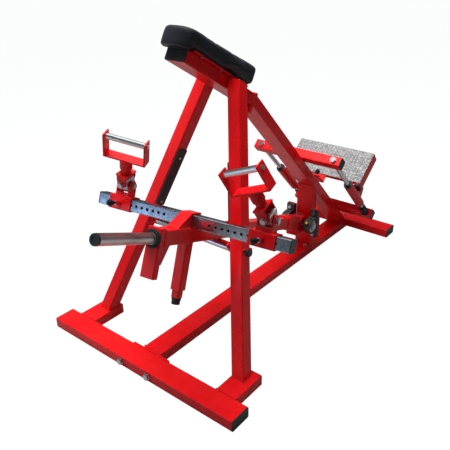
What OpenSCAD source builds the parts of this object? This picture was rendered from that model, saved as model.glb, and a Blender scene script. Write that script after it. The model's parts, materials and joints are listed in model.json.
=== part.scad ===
// Plate-loaded row machine with a chest pad, a swinging lever, sliding handles
// and a footplate on an inclined rail. Millimetres, +Z up, front is -Y.
// The origin is on the floor, under the middle of the whole machine.

/* [Base] */
// Width of the front cross beam
beam_w = 1044; // [900:4:1200]
// Width of the rear cross beam
rear_beam_w = 628; // [500:4:700]
// Distance from the front face to the rear beam
rear_beam_y = 1782; // [1760:2:1900]
// Wide side of the flat base tube
flat_w = 100; // [90:2:110]
// Thin side of the flat base tube
flat_h = 50; // [44:2:56]
// Wall of the steel tubes
wall = 3; // [2:0.5:4]

/* [Uprights and pad] */
// Side of the square uprights
upright_s = 60; // [50:2:66]
// Height of the lower front edge of the pad beam
pad_beam_z = 1233; // [1200:3:1260]
// Length of the chest pad
pad_len = 458; // [400:2:470]
// Width of the chest pad at its nose
pad_w = 146; // [140:2:200]
// Width of the chest pad at its rear end
pad_rear_w = 160; // [150:2:210]
// Thickness of the chest pad at its rear end
pad_t = 74; // [60:2:90]

/* [Lever] */
// Angle of the lever above level, at rest on the stop bar
lift = 20.5; // [18:0.5:23]
// Angle of the lever to the side, at rest
yaw = 7.7; // [4:0.1:9]
// Side of the square lever tube
arm_s = 60; // [50:2:60]
// Half the length of the handle bar
bar_half = 434; // [420:2:460]
// Side of the square handle bar
bar_s = 50; // [45:1:50]
// Spacing of the pin holes in the handle bar
hole_step = 27.5; // [25:0.5:30]
// Distance of each handle slide from the middle
slide_x = 323.75; // [300:0.25:340]
// Outside radius of the weight horn
horn_r = 21; // [19:0.5:24]
// Length of the weight horn
horn_len = 297; // [200:1:340]

/* [Handles] */
// Outside width of the handle frame
yoke_w = 176; // [150:2:180]
// Depth of the handle frame
yoke_d = 46; // [36:2:50]
// Height of the handle frame
yoke_h = 100; // [85:5:110]
// Radius of the handle roller
grip_r = 12.5; // [10:0.5:16]

/* [Footplate] */
// Width of the footplate
foot_w = 476; // [420:4:500]
// Depth of the footplate
foot_d = 200; // [160:10:230]
// Angle of the footplate from level
foot_tilt = 39.5; // [35:0.5:45]
// Radius of the two guide rods
rod_r = 12.5; // [10:0.5:14]

/* [Hidden] */
$fn = 48;
red = [0.78, 0.05, 0.05];
blk = [0.05, 0.05, 0.055];
zinc = [0.75, 0.76, 0.78];
corner = 5;
shift_x = 0;
shift_y = -798;
seat = 0.4;
fit = 0.05;

// Base
stub_in = 364;
stub_out = 466;
stub_end = 268;
flange_t = 8;
cap_t = 3;
spine_start = flat_w + flange_t;

// Uprights
up_x = 401;
up_y = 219;
up_back = 20.2;
up_side = 15.8;
up_len = 1260;

// Pad beam and incline, in the plane across the machine
pad_beam_y = 338;
pad_tilt = 30;
miter_lo = [756.8, 991.2];
miter_hi = [787.5, 1031.2];
incline_sum = 1748;
incline_top = incline_sum + flat_h * sqrt(2);
post_y = 1324;
post_d = 50;

// Pivot
hub_y = 1270;
hub_z = 212;
bear_rise = post_y - 4 - hub_y;
bear_x = 75;
bear_w = 46;
shaft_r = 17.5;
hub_s = 58;

// Lever, in its own frame: -Y forward, +Z square to the arm
arm_z = 7;
arm_back = -150;
arm_front = -1340;
bar_y = -1141;
bar_z = 62;
sleeve_s = 59;
sleeve_len = 108;
hinge_z = 137;
stop_y = -1144;
stop_s = 45;
stop_top = arm_z - arm_s / 2;
stop_low = -217;
block_y = -1358;
block_tilt = 3.2;
horn_seat = 17;

// Handles: pitch, tilt and turn of each at rest
pitch_l = 30;
tilt_l = 14;
turn_l = 13.5;
pitch_r = 38;
tilt_r = -23;
turn_r = 0;
cross_h = 17;
yoke_z = 126;
grip_z = yoke_z + 83;

// Stop bar
rest_y = 396;
rest_z = 496.5;
rest_py = 432;
rest_pz = 488.5;
rest_r = 14;
lock_y = 379;
lock_z = 517;

// Rail on the incline: p is distance down the slope, h is height above its top face
rail_up = 403;
rail_low = 1032;
rail_half = 256;
rail_s = 50;
rod_x = 218;
rod_h = 24;
sleeve_a = 672;
sleeve_b = 912;
sleeve_r = 25;
pin_p = 702;

// Part to show

// ---- shared shapes ----

function rr(w, h, r) = [
  for (c = [[1, 1, 0], [-1, 1, 90], [-1, -1, 180], [1, -1, 270]])
    for (i = [0:4])
      [c[0] * (w / 2 - r) + r * cos(c[2] + i * 22.5),
       c[1] * (h / 2 - r) + r * sin(c[2] + i * 22.5)]];

module bar(w, h, len, r = corner) {
  linear_extrude(len) polygon(rr(w, h, r));
}

module tube(w, h, len, t = wall) {
  difference() {
    bar(w, h, len);
    translate([0, 0, -1]) bar(w - 2 * t, h - 2 * t, len + 2, corner - t + 1);
  }
}

module along_x() {
  rotate([0, 90, 0]) children();
}

module along_y() {
  rotate([-90, 0, 0]) children();
}

module tube_x(half, w, h, t = wall) {
  translate([-half, 0, 0]) along_x() tube(h, w, 2 * half, t);
}

module box(x, y, z) {
  translate([-x / 2, -y / 2, -z / 2]) cube([x, y, z]);
}

module hex_head(r, h) {
  cylinder(h = h, r = r, $fn = 6);
}

// Bolt head with washer: outside face at z = 0, head grows up +Z
module bolt_end(r = 8, h = 10) {
  union() {
    cylinder(h = 2.5, r = r * 1.75);
    translate([0, 0, 2.5]) hex_head(r * 1.6, h);
  }
}

// Whole machine moved so the origin is under its middle
module place() {
  translate([shift_x, shift_y, 0]) children();
}

module lever_frame() {
  translate([0, hub_y, hub_z]) rotate([0, 0, yaw]) rotate([-lift, 0, 0]) children();
}

// Incline frame: local +Z runs down the slope, local -Y is away from the top face
module slope(p = 0, h = 0) {
  translate([0, (incline_top + h * sqrt(2) + p * sqrt(2)) / 2,
    (incline_top + h * sqrt(2) - p * sqrt(2)) / 2])
    rotate([-135, 0, 0]) children();
}

module hinge_at(side) {
  lever_frame() translate([side * slide_x, bar_y, hinge_z]) children();
}

module handle(side) {
  ph = side < 0 ? pitch_l : pitch_r;
  tl = side < 0 ? tilt_l : tilt_r;
  hinge_at(side) rotate([ph, 0, 0]) translate([0, 0, cross_h]) rotate([0, tl, 0])
    translate([0, 0, -cross_h]) children();
}

module grip_frame(side) {
  tn = side < 0 ? turn_l : turn_r;
  handle(side) rotate([0, 0, tn]) children();
}

// ---- base ----

module front_beam() {
  color(red) place() translate([0, flat_w / 2, flat_h / 2])
    tube_x(beam_w / 2, flat_w, flat_h);
}

module beam_stubs() {
  color(red) place() for (s = [-1, 1])
    translate([s * (stub_in + stub_out) / 2, flat_w + seat, flat_h / 2])
      along_y() tube(flat_w, flat_h, stub_end - flat_w - seat);
}

module tube_cap(w, h) {
  union() {
    bar(w, h, cap_t);
    translate([0, 0, -12]) bar(w - 2 * wall - 1, h - 2 * wall - 1, 12, 2);
  }
}

module tube_caps() {
  color(blk) place() {
    for (s = [-1, 1]) {
      translate([s * (beam_w / 2 + seat), flat_w / 2, flat_h / 2])
        rotate([0, s * 90, 0]) tube_cap(flat_h, flat_w);
      translate([s * (rear_beam_w / 2 + seat), rear_beam_y + flat_w / 2, flat_h / 2])
        rotate([0, s * 90, 0]) tube_cap(flat_h, flat_w);
      translate([s * (stub_in + stub_out) / 2, stub_end + seat, flat_h / 2])
        rotate([-90, 0, 0]) tube_cap(flat_w, flat_h);
      slope(rail_up, 0) translate([s * (rail_half + seat), -rail_s / 2 - 1, rail_s / 2])
        rotate([0, s * 90, 0]) tube_cap(rail_s, rail_s);
      slope(rail_low, 0) translate([s * (rail_half + seat), -rail_s / 2 - 1, rail_s / 2])
        rotate([0, s * 90, 0]) tube_cap(rail_s, rail_s);
    }
    translate([0, pad_beam_y, pad_beam_z]) rotate([-pad_tilt, 0, 0])
      translate([0, -seat, flat_h / 2]) rotate([90, 0, 0]) tube_cap(flat_w, flat_h);
  }
}

module spine_tube() {
  color(red) place() translate([0, spine_start, flat_h / 2])
    along_y() tube(flat_w, flat_h, rear_beam_y - spine_start - seat);
}

module rear_beam() {
  color(red) place() translate([0, rear_beam_y + flat_w / 2, flat_h / 2])
    tube_x(rear_beam_w / 2, flat_w, flat_h);
}

module flange_plates() {
  color(red) place() {
    // between front beam and spine
    translate([0, flat_w + flange_t / 2 + 0.1, flat_h / 2]) box(210, flange_t - 0.2, flat_h - 2);
    // foot of the post
    translate([0, post_y + 24, flat_h + 4.1]) box(flat_w - 4, 116, 8);
    // bearing plates
    for (s = [-1, 1])
      translate([s * (bear_x + 1), post_y, hub_z - 2]) box(flat_w / 2 + 1, 8, 170);
    // bolted joint between pad beam and incline
    joint_plane() for (k = [-1, 1])
      translate([0, 5, k * 4.2]) box(flat_w, 94, 8);
  }
}

// Plane of the mitre between pad beam and incline: local Y up the cut, Z across it
module joint_plane() {
  mid = (miter_lo + miter_hi) / 2;
  translate([0, mid[0], mid[1]])
    rotate([atan2(miter_hi[1] - miter_lo[1], miter_hi[0] - miter_lo[0]), 0, 0])
      translate([0, -22, 0]) children();
}

// ---- uprights ----

module upright(side) {
  mirror([side < 0 ? 1 : 0, 0, 0]) difference() {
    translate([up_x, up_y, flat_h]) rotate([-up_back, 0, 0]) rotate([0, -up_side, 0])
      translate([0, 0, -60]) tube(upright_s, upright_s, up_len);
    translate([0, 0, flat_h - 100]) box(1400, 1400, 200);
    translate([flat_w / 2 - 200, 600, 1100]) box(400.6, 800, 1000);
    translate([0, pad_beam_y, pad_beam_z]) rotate([-pad_tilt, 0, 0])
      translate([0, 300, flat_h + 193]) box(800, 1600, 400);
  }
}

module upright_left() {
  color(red) place() upright(-1);
}

// The right upright also guides the locking pin of the stop bar
module upright_right() {
  color(red) place() difference() {
    union() {
      upright(1);
      translate([288, lock_y, lock_z]) along_x() cylinder(h = 7, r = 10);
    }
    translate([200, lock_y, lock_z]) along_x() cylinder(h = 120, r = 6 + fit);
  }
}

module wear_strips() {
  color(blk) place() for (s = [-1, 1]) mirror([s < 0 ? 1 : 0, 0, 0])
    translate([up_x, up_y, flat_h]) rotate([-up_back, 0, 0]) rotate([0, -up_side, 0])
      translate([-upright_s / 2 - 3.2, 0, 725]) box(6, 54, 274);
}

// ---- pad beam, board and pad ----

module pad_frame() {
  translate([0, pad_beam_y, pad_beam_z]) rotate([-pad_tilt, 0, 0]) children();
}

module pad_beam() {
  color(red) place() union() {
    difference() {
      pad_frame() translate([0, 0, flat_h / 2]) along_y() tube(flat_w, flat_h, 640);
      joint_plane() translate([0, 0, -500 + 8.3]) box(400, 1200, 1000);
    }
    pad_frame() for (s = [-1, 1])
      translate([s * (flat_w / 2 + 7), 205, flat_h + 2]) box(18, 370, 5);
  }
}

module pad_board() {
  color(blk) place() pad_frame()
    translate([0, 190, flat_h + 5]) linear_extrude(6) polygon(rr(pad_w - 20, 370, 25));
}

function arc(x, y, r, a) = [
  for (i = [0:5]) [x + r * cos(a + i * 18), y + r * sin(a + i * 18)]];

// Wedge of foam with a rounded nose that hangs over the front end of the beam
module pad() {
  front = -55;
  rear = pad_len + front;
  half = pad_w / 2;
  wide = pad_rear_w / 2;
  under = flat_h + 11.4;
  color(blk) place() pad_frame() intersection() {
    linear_extrude(300) polygon(concat(
      arc(wide - 22, rear - 22, 22, 0), arc(22 - wide, rear - 22, 22, 90),
      arc(42 - half, front + 42, 42, 180), arc(half - 42, front + 42, 42, 270)));
    translate([-200, 0, 0]) rotate([90, 0, 90]) linear_extrude(400)
      polygon([[front, flat_h - 2], [front + 12, flat_h - 13], [-6, flat_h - 13], [-6, under],
        [rear, under], [rear, under + pad_t], [front + 14, flat_h + 66], [front, flat_h + 54]]);
  }
}

module pad_screws() {
  color(zinc) place() {
    pad_frame() for (s = [-1, 1]) for (y = [70, 200, 330])
      translate([s * (flat_w / 2 + 8), y, flat_h - 4.2]) cylinder(h = 3.6, r = 6);
    for (s = [-1, 1]) mirror([s < 0 ? 1 : 0, 0, 0])
      translate([up_x, up_y, flat_h]) rotate([-up_back, 0, 0]) rotate([0, -up_side, 0])
        for (z = [606, 822])
          translate([-upright_s / 2 - 6.4, 0, z]) rotate([0, -90, 0]) cylinder(h = 2.5, r = 5);
  }
}

// ---- incline, post, bearings ----

module incline_tube() {
  color(red) place() difference() {
    slope(0, 0) translate([0, flat_h / 2, -240]) tube(flat_w, flat_h, 1500);
    joint_plane() translate([0, 0, 500 - 8.3]) box(400, 1200, 1000);
    translate([0, 1700, flat_h - 200 + 0.3]) box(400, 800, 400);
    for (i = [-1:4]) slope(pin_p - i * 45, 0)
      translate([0, 4, 0]) rotate([90, 0, 0]) cylinder(h = 8, r = 7);
  }
}

module post() {
  color(red) place() difference() {
    translate([0, post_y + post_d / 2, flat_h + 8.2]) tube(flat_w, post_d, 420);
    slope(0, -flat_h - seat) translate([0, -200, 700]) box(400, 400, 1800);
  }
}

module pillow(s) {
  translate([s * (bear_x + 1), hub_y, hub_z]) difference() {
    union() {
      translate([0, bear_rise - 9.2, 0]) box(bear_w, 18, 165);
      translate([-19, 0, 0]) along_x() cylinder(h = 38, r = 43);
      translate([0, (bear_rise - 18) / 2, 0]) box(36, bear_rise - 18, 92);
    }
    translate([-30, 0, 0]) along_x() cylinder(h = 60, r = 33);
    for (z = [-63.5, 63.5]) translate([0, bear_rise - 24, z]) along_y() cylinder(h = 30, r = 7);
  }
}

module pillow_blocks() {
  color(blk) place() for (s = [-1, 1]) pillow(s);
}

module bearing_inserts() {
  color(zinc) place() for (s = [-1, 1]) translate([s * (bear_x + 1), hub_y, hub_z])
    difference() {
      union() {
        translate([-17, 0, 0]) along_x() cylinder(h = 34, r = 32.6);
        translate([-23, 0, 0]) along_x() cylinder(h = 46, r = 24);
      }
      translate([-30, 0, 0]) along_x() cylinder(h = 60, r = shaft_r + fit);
    }
}

module grease_caps() {
  color([0.9, 0.7, 0.05]) place() for (s = [-1, 1])
    translate([s * (bear_x + 1), hub_y, hub_z]) rotate([50, 0, 0])
      translate([0, 0, 43.2]) union() {
        cylinder(h = 6, r = 4);
        translate([0, 0, 6]) cylinder(h = 6, r = 6.5);
      }
}

module frame_bolts() {
  color(zinc) place() {
    // front beam to spine
    for (x = [-80, 80]) translate([x, -0.3, flat_h / 2]) rotate([90, 0, 0]) bolt_end(9, 9);
    // rear beam
    translate([8, rear_beam_y + 52, flat_h + 0.3]) bolt_end(7, 8);
    // foot of the post
    for (x = [-28, 28]) for (y = [-18, post_d + 16])
      translate([x, post_y + y, flat_h + 8.4]) bolt_end(6, 8);
    // pillow blocks
    for (s = [-1, 1]) for (z = [-63.5, 63.5])
      translate([s * (bear_x + 1), hub_y + bear_rise - 18.6, hub_z + z]) rotate([90, 0, 0])
        bolt_end(6.5, 8);
    // bolted joint
    joint_plane() for (x = [-30, 30]) for (k = [-1, 1])
      translate([x, -28, k * 8.5]) rotate([k < 0 ? 180 : 0, 0, 0]) bolt_end(6, 7);
    // ends of the guide rods
    for (s = [-1, 1]) {
      slope(rail_up - 0.3, 0) translate([s * rod_x, -rail_s / 2 - 1, 0])
        rotate([180, 0, 0]) bolt_end(9.5, 10);
      slope(rail_low + rail_s + 0.3, 0) translate([s * rod_x, -rail_s / 2 - 1, 0])
        bolt_end(9.5, 10);
    }
  }
}

// ---- rail and carriage ----

module rail_bar(p) {
  slope(p, 0) translate([-rail_half, -rail_s / 2 - 1, rail_s / 2]) along_x()
    tube(rail_s, rail_s, 2 * rail_half);
}

module upper_rail_bar() {
  color(red) place() rail_bar(rail_up);
}

module lower_rail_bar() {
  color(red) place() rail_bar(rail_low);
}

module guide_rods() {
  color(zinc) place() for (s = [-1, 1]) slope(rail_up + rail_s + 0.3, 0)
    translate([s * rod_x, -rod_h, 0])
      cylinder(h = rail_low - rail_up - rail_s - 0.6, r = rod_r);
}

module rod_bumpers() {
  color(blk) place() for (s = [-1, 1]) slope(rail_low - 70, 0)
    translate([s * rod_x, -rod_h, 0]) difference() {
      union() {
        cylinder(h = 64, r = 20);
        translate([0, 0, 64.2]) cylinder(h = 5, r = 24);
        translate([0, 0, 60]) cylinder(h = 5, r = 19);
      }
      translate([0, 0, -1]) cylinder(h = 80, r = rod_r + fit);
    }
}

module carriage_sleeves() {
  color(red) place() for (s = [-1, 1]) slope(sleeve_a + 6, 0)
    translate([s * rod_x, -rod_h, 0]) difference() {
      cylinder(h = sleeve_b - sleeve_a - 12, r = sleeve_r);
      translate([0, 0, -1]) cylinder(h = 300, r = 20);
    }
}

module carriage_bushings() {
  color(blk) place() for (s = [-1, 1]) for (e = [0, 1])
    slope(e < 1 ? sleeve_a : sleeve_b, 0) translate([s * rod_x, -rod_h, 0])
      mirror([0, 0, e]) difference() {
        union() {
          cylinder(h = 5.8, r = sleeve_r - 1);
          cylinder(h = 50, r = 19.8);
        }
        translate([0, 0, -1]) cylinder(h = 60, r = rod_r + fit);
      }
}

// Footplate frame: local Y back up the plate, Z out of its top face, origin at front edge
module plate_frame() {
  translate([0, 1505, 428]) rotate([foot_tilt, 0, 0]) children();
}

module footplate_frame() {
  color(red) place() union() {
    plate_frame() {
      for (s = [-1, 1]) translate([s * (foot_w / 2 - 15), -4, -30])
        along_y() tube(30, 60, foot_d + 4);
      translate([0, 12, -17]) tube_x(foot_w / 2 - 29, 22, 28, 2.5);
      translate([0, foot_d - 14, -17]) tube_x(foot_w / 2 - 29, 22, 28, 2.5);
    }
    // cheeks that tie the side rails to the sleeves
    difference() {
      for (s = [-1, 1]) slope(0, 0)
        translate([s * rod_x - 4, 0, 0]) rotate([0, 90, 0]) linear_extrude(8)
          polygon([[-730, -rod_h - 25.4], [-890, -rod_h - 25.4], [-870, -104], [-768, -92]]);
      plate_frame() for (s = [-1, 1])
        translate([s * (foot_w / 2 - 15), -46, -30.2]) box(40, 108, 61);
      plate_frame() translate([0, foot_d / 2, 50.2]) box(foot_w + 100, foot_d + 200, 100);
    }
    // bracket that carries the locking pin
    slope(0, 0) difference() {
      union() {
        translate([-26, -40, pin_p - 24]) cube([52, 6, 92]);
        translate([0, -30, pin_p]) rotate([90, 0, 0]) cylinder(h = 10, r = 13);
        translate([-26, -96, pin_p + 61]) cube([52, 62, 8]);
      }
      translate([0, -20, pin_p]) rotate([90, 0, 0]) cylinder(h = 60, r = 6 + fit);
    }
  }
}

module tread_plate() {
  color(zinc) place() plate_frame()
    translate([-foot_w / 2, 0, seat]) cube([foot_w, foot_d, 4]);
}

module footplate_caps() {
  color(blk) place() plate_frame() for (s = [-1, 1])
    translate([s * (foot_w / 2 - 15), -4 - seat, -30]) rotate([90, 0, 0]) union() {
      bar(30, 60, cap_t + 9);
      translate([0, 0, -12]) bar(23, 53, 12, 2);
    }
}

module footplate_pin() {
  color(blk) place() slope(0, 0) translate([0, -1, pin_p]) rotate([90, 0, 0]) union() {
    cylinder(h = 60, r = 6);
    translate([0, 0, 50]) cylinder(h = 4, r = 10);
    translate([0, 0, 66]) sphere(r = 14);
  }
}

// ---- stop bar ----

module rest_lugs() {
  color(red) place() for (s = [-1, 1]) difference() {
    union() {
      translate([s * 264 - 17, rest_py, rest_pz]) along_x() cylinder(h = 34, r = 17);
      translate([s * 264, rest_py - 9, rest_pz - 1]) box(30, 18, 30);
    }
    translate([s * 264 - 25, rest_py, rest_pz]) along_x() cylinder(h = 50, r = 10 + fit);
    translate([s * 264, rest_py - 27.4, rest_pz]) rotate([-up_back, 0, 0]) box(60, 20, 120);
  }
}

module link(x, lobe = false) {
  translate([x - 4, 0, 0]) difference() {
    union() {
      translate([0, rest_y, rest_z]) along_x() cylinder(h = 8, r = 15);
      translate([0, rest_py, rest_pz]) along_x() cylinder(h = 8, r = 16);
      translate([4, (rest_y + rest_py) / 2, (rest_z + rest_pz) / 2])
        rotate([atan2(rest_pz - rest_z, rest_py - rest_y), 0, 0]) box(8, 38, 26);
      if (lobe) translate([0, lock_y, lock_z]) along_x() cylinder(h = 8, r = 12);
      if (lobe) translate([4, (rest_y + lock_y) / 2, (rest_z + lock_z) / 2])
        rotate([atan2(rest_z - lock_z, rest_y - lock_y), 0, 0]) box(8, 26, 22);
    }
    translate([-1, rest_y, rest_z]) along_x() cylinder(h = 10, r = 8);
    if (lobe) translate([-1, lock_y, lock_z]) along_x() cylinder(h = 10, r = 6.4);
  }
}

module rest_frame() {
  color(red) place() union() {
    translate([-284, rest_py, rest_pz]) along_x() cylinder(h = 568, r = 10);
    link(-214);
    link(214, true);
  }
}

module rest_roller() {
  color(zinc) place() difference() {
    union() {
      translate([-209, rest_y, rest_z]) along_x() cylinder(h = 418, r = rest_r);
      translate([-219, rest_y, rest_z]) along_x() cylinder(h = 438, r = 7.9);
    }
    translate([-300, rest_y, rest_z]) along_x() cylinder(h = 600, r = 5);
  }
}

// Sideways locking pin with a round knob, drawn pulled out
module rest_pin() {
  color(blk) place() translate([218.4, lock_y, lock_z]) along_x() union() {
    cylinder(h = 92, r = 6);
    translate([0, 0, 90]) cylinder(h = 3, r = 14.5);
    translate([0, 0, 93]) cylinder(h = 8, r = 16.5);
    translate([0, 0, 101]) cylinder(h = 3, r = 14.5);
  }
}

// ---- lever ----

module pivot_hub() {
  color(red) place() translate([0, hub_y, hub_z]) rotate([0, 0, 0]) difference() {
    box(hub_s, hub_s, hub_s + 4);
    translate([0, 0, -60]) cylinder(h = 120, r = 10 + fit);
    for (s = [-1, 1]) translate([s * 41, 0, 0]) rotate([0, s * 90, 0])
      translate([0, 0, -22]) cylinder(h = 40, r = shaft_r + 0.1);
  }
}

module pivot_shaft() {
  color(zinc) place() translate([0, hub_y, hub_z]) for (s = [-1, 1])
    rotate([0, s * 90, 0]) translate([0, 0, 19.2]) cylinder(h = 84, r = shaft_r);
}

module lever_arm() {
  color(red) place() lever_frame() difference() {
    translate([0, arm_front, arm_z]) along_y() tube(arm_s, arm_s, arm_back - arm_front);
    translate([-60, -370, arm_z + 8]) along_x() cylinder(h = 120, r = 7);
    translate([0, block_y, 4]) rotate([-block_tilt, 0, 0]) translate([0, 30.3 - 100, 0])
      box(200, 200, 600);
  }
}

// Bent plates above and below the hub, with a spigot inside the arm
module lever_fork() {
  z1 = hub_s / 2 + 2.8;
  color(red) place() union() {
    translate([0, hub_y, hub_z]) rotate([0, 0, yaw]) difference() {
      union() {
        for (k = [0, 1]) mirror([0, 0, k]) translate([0, 0, z1]) {
          translate([-33, -74, 0]) cube([66, 74, 9]);
          cylinder(h = 9, r = 33);
        }
        translate([-33, -84, -z1 - 9]) cube([66, 12, 2 * z1 + 18]);
      }
      translate([0, 0, -60]) cylinder(h = 120, r = 10 + fit);
    }
    lever_frame() difference() {
      union() {
        difference() {
          translate([-35, -216, arm_z - 36]) cube([70, 150, 72]);
          translate([0, -217, arm_z]) along_y() bar(arm_s + 0.6, arm_s + 0.6, 68);
        }
        translate([0, -430, arm_z]) along_y() tube(51, 51, 300, 4);
      }
      translate([-60, -80, -70]) cube([120, 60, 160]);
      translate([-60, -370, arm_z + 8]) along_x() cylinder(h = 120, r = 7);
    }
  }
}

module lever_bolts() {
  color(zinc) place() {
    translate([0, hub_y, hub_z]) rotate([0, 0, yaw]) union() {
      translate([0, 0, -45]) cylinder(h = 90, r = 10);
      for (k = [0, 1]) mirror([0, 0, k]) translate([0, 0, hub_s / 2 + 12.2]) union() {
        cylinder(h = 3, r = 17);
        translate([0, 0, 3]) hex_head(15, 10);
      }
    }
    lever_frame() translate([0, -370, arm_z + 8]) union() {
      translate([-40, 0, 0]) along_x() cylinder(h = 80, r = 6.5);
      for (s = [-1, 1]) translate([s * (arm_s / 2 + 0.3), 0, 0]) rotate([0, s * 90, 0])
        bolt_end(7, 9);
    }
  }
}

module block_frame() {
  lever_frame() translate([0, block_y, 4]) rotate([-block_tilt, 0, 0]) children();
}

module lever_block() {
  color(red) place() union() {
    block_frame() translate([0, 15, -145]) tube(arm_s, 30, 184);
    block_frame() translate([-arm_s / 2, 0, 36.5]) cube([arm_s, 30, 3]);
    lever_frame() translate([-24, 0, 0]) rotate([90, 0, 90]) linear_extrude(48)
      polygon([[-1331, stop_top - 0.2], [-1284, stop_top - 0.2], [-1322, -92], [-1335, -92]]);
  }
}

module crossbar_bracket() {
  t = bar_z + bar_s / 2;
  f = bar_y - bar_s / 2 - seat;
  color(red) place() lever_frame() union() {
    translate([-25, 0, 0]) rotate([90, 0, 90]) linear_extrude(50)
      polygon([[f, t + 6], [f, arm_z + arm_s / 2 + 0.2], [f - 84, arm_z + arm_s / 2 + 0.2],
        [f - 74, arm_z + arm_s / 2 + 8]]);
    translate([-27, f, t + 0.3]) cube([54, bar_s + 10, 6]);
    translate([-25, bar_y + bar_s / 2 + seat, arm_z + arm_s / 2 + 0.2])
      cube([50, 8, bar_z + bar_s / 2 - arm_z - arm_s / 2 + 4]);
  }
}

module crossbar() {
  color(zinc) place() lever_frame() translate([0, bar_y, bar_z]) difference() {
    tube_x(bar_half, bar_s, bar_s);
    for (s = [-1, 1]) for (k = [0:10])
      translate([s * (slide_x - (8 - k) * hole_step), -bar_s / 2 - 2, 0])
        along_y() cylinder(h = 8, r = 5.5);
  }
}

module lever_caps() {
  color(blk) place() {
    lever_frame() for (s = [-1, 1]) translate([s * (bar_half + seat), bar_y, bar_z])
      rotate([0, s * 90, 0]) tube_cap(bar_s, bar_s);
    block_frame() translate([0, -horn_len - 0.3, 0]) rotate([90, 0, 0]) difference() {
      union() {
        translate([0, 0, -24]) cylinder(h = 24, r = horn_r - 4.2);
        cylinder(h = 7, r = horn_r - 0.4);
      }
      translate([0, 0, 5]) cylinder(h = 3, r = horn_r - 9);
    }
  }
}

module weight_horn() {
  color(zinc) place() block_frame() rotate([90, 0, 0]) difference() {
    union() {
      translate([0, 0, 0.3]) cylinder(h = horn_seat - 0.3, r = horn_r + 1);
      translate([0, 0, horn_seat]) cylinder(h = horn_len - horn_seat, r = horn_r);
    }
    translate([0, 0, 20]) cylinder(h = horn_len, r = horn_r - 4);
  }
}

module horn_collar() {
  color(blk) place() block_frame() rotate([90, 0, 0]) translate([0, 0, 0.6]) difference() {
    union() {
      cylinder(h = 10, r = 34);
      cylinder(h = 15, r = 31);
    }
    translate([0, 0, -1]) cylinder(h = 20, r = horn_r + 1 + fit);
  }
}

module stop_leg() {
  color(red) place() lever_frame() translate([0, stop_y, stop_low])
    tube(stop_s, stop_s, stop_top - stop_low - 0.2, 3.5);
}

module stop_inner() {
  color(red) place() lever_frame() translate([0, stop_y, stop_low - 31]) difference() {
    tube(34, 34, 150, 3);
    translate([0, -30, 120]) along_y() cylinder(h = 60, r = 5);
  }
}

module stop_foot() {
  color(blk) place() lever_frame() translate([0, stop_y, stop_low - 58]) union() {
    cylinder(h = 17, r = 17);
    translate([0, 0, 17]) cylinder(h = 9.6, r = 19);
    translate([0, 0, 26]) cylinder(h = 22, r = 11);
  }
}

// ---- handle slides ----

module slider(side) {
  lever_frame() translate([side * slide_x, 0, 0]) difference() {
    union() {
      translate([-sleeve_len / 2, bar_y, bar_z]) along_x() tube(sleeve_s, sleeve_s, sleeve_len, 3.8);
      translate([-33, bar_y - 18, bar_z + sleeve_s / 2 - 0.5]) cube([66, 36, 6.5]);
      translate([-30, bar_y - 22, bar_z + sleeve_s / 2]) cube([60, 5, 15]);
      for (s = [-1, 1]) translate([s * 30 - 3, bar_y - 22, bar_z + sleeve_s / 2]) union() {
        cube([6, 44, hinge_z - bar_z - sleeve_s / 2]);
        translate([0, 22, hinge_z - bar_z - sleeve_s / 2]) along_x() cylinder(h = 6, r = 20);
      }
      translate([0, bar_y - sleeve_s / 2 + 1, bar_z]) rotate([90, 0, 0]) cylinder(h = 22, r = 11);
    }
    translate([-50, bar_y, hinge_z]) along_x() cylinder(h = 100, r = 8 + fit);
    translate([0, bar_y - 20, bar_z]) rotate([90, 0, 0]) cylinder(h = 60, r = 5 + fit);
  }
}

module slider_left() {
  color(red) place() slider(-1);
}

module slider_right() {
  color(red) place() slider(1);
}

// Locking pin with a ball knob
module slide_pin(side) {
  lever_frame() translate([side * slide_x, bar_y - bar_s / 2 - 0.8, bar_z]) rotate([90, 0, 0]) union() {
    cylinder(h = 54, r = 5);
    translate([0, 0, 46]) cylinder(h = 4, r = 9);
    translate([0, 0, 62]) sphere(r = 14);
  }
}

module slider_pin_left() {
  color(blk) place() slide_pin(-1);
}

module slider_pin_right() {
  color(blk) place() slide_pin(1);
}

// Two bolts at right angles through one block
module cross(side) {
  ph = side < 0 ? pitch_l : pitch_r;
  hinge_at(side) rotate([ph, 0, 0]) union() {
    translate([0, 0, 9]) box(50, 50, 52);
    for (s = [-1, 1]) {
      rotate([0, s * 90, 0]) union() {
        cylinder(h = 36, r = 8);
        translate([0, 0, 33.4]) bolt_end(7.2, 8);
      }
      translate([0, 0, cross_h]) rotate([s * 90, 0, 0]) union() {
        cylinder(h = 36, r = 8);
        translate([0, 0, 33.4]) cylinder(h = 2.5, r = 13);
        translate([0, 0, 35.9]) cylinder(h = 8, r = 11.5);
      }
    }
  }
}

module cross_left() {
  color(zinc) place() cross(-1);
}

module cross_right() {
  color(zinc) place() cross(1);
}

module clevis(side) {
  handle(side) difference() {
    union() {
      for (s = [-1, 1]) translate([0, s * 30 - 3, cross_h]) union() {
        translate([-18, 0, 0]) cube([36, 6, 60 - cross_h]);
        translate([-22, 0, 15]) cube([44, 6, 45 - cross_h]);
        along_y() cylinder(h = 6, r = 18);
      }
      translate([-26, -33, 54]) cube([52, 66, 7]);
      translate([0, 0, 60.5]) cylinder(h = 23.5, r = 21);
    }
    translate([0, -50, cross_h]) along_y() cylinder(h = 100, r = 8 + fit);
    translate([0, 0, 62]) cylinder(h = 60, r = 12 + fit);
  }
}

module clevis_left() {
  color(red) place() clevis(-1);
}

module clevis_right() {
  color(red) place() clevis(1);
}

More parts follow.
